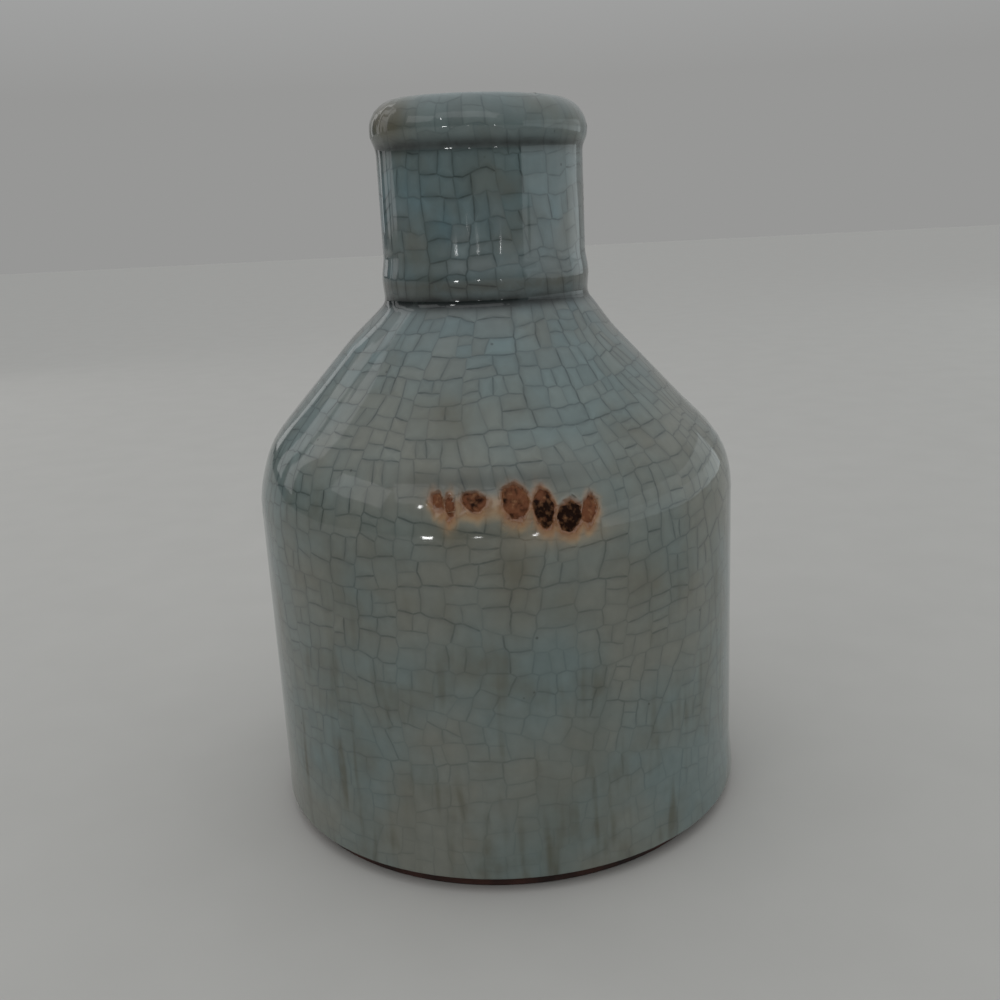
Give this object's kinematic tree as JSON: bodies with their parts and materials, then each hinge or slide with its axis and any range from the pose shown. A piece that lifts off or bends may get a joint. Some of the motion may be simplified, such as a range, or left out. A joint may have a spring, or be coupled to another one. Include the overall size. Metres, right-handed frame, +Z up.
{
  "type": "bottle vase",
  "caption": "Crackle-glazed earthenware bottle vase: rolled rim, short straight neck, sloping shoulder, straight body and bare clay foot, for stems or display.",
  "frame": {"origin": "centre of the foot, on the surface the vase stands on", "axes": "+Z up the vase's axis; -Y is the front, where the burn marks are"},
  "size_m": [0.1368, 0.1368, 0.2],
  "materials": {
    "red_clay": "fired unglazed red-brown clay, matte",
    "slip": "fired iron-rich luting slip, matte",
    "crackle_glaze": "glossy grey-green celadon with a stained craze network",
    "liner_glaze": "thin glossy grey-green glaze",
    "iron_slag": "rust to black burnt iron, half gloss"
  },
  "bodies": {
    "root": {"base": "red_clay", "body_wall": "red_clay", "shoulder": "red_clay", "neck": "red_clay", "rim": "red_clay", "joint_slip": "slip", "outer_glaze": "crackle_glaze", "liner_glaze": "liner_glaze", "iron_spots": "iron_slag"}
  },
  "joints": []
}
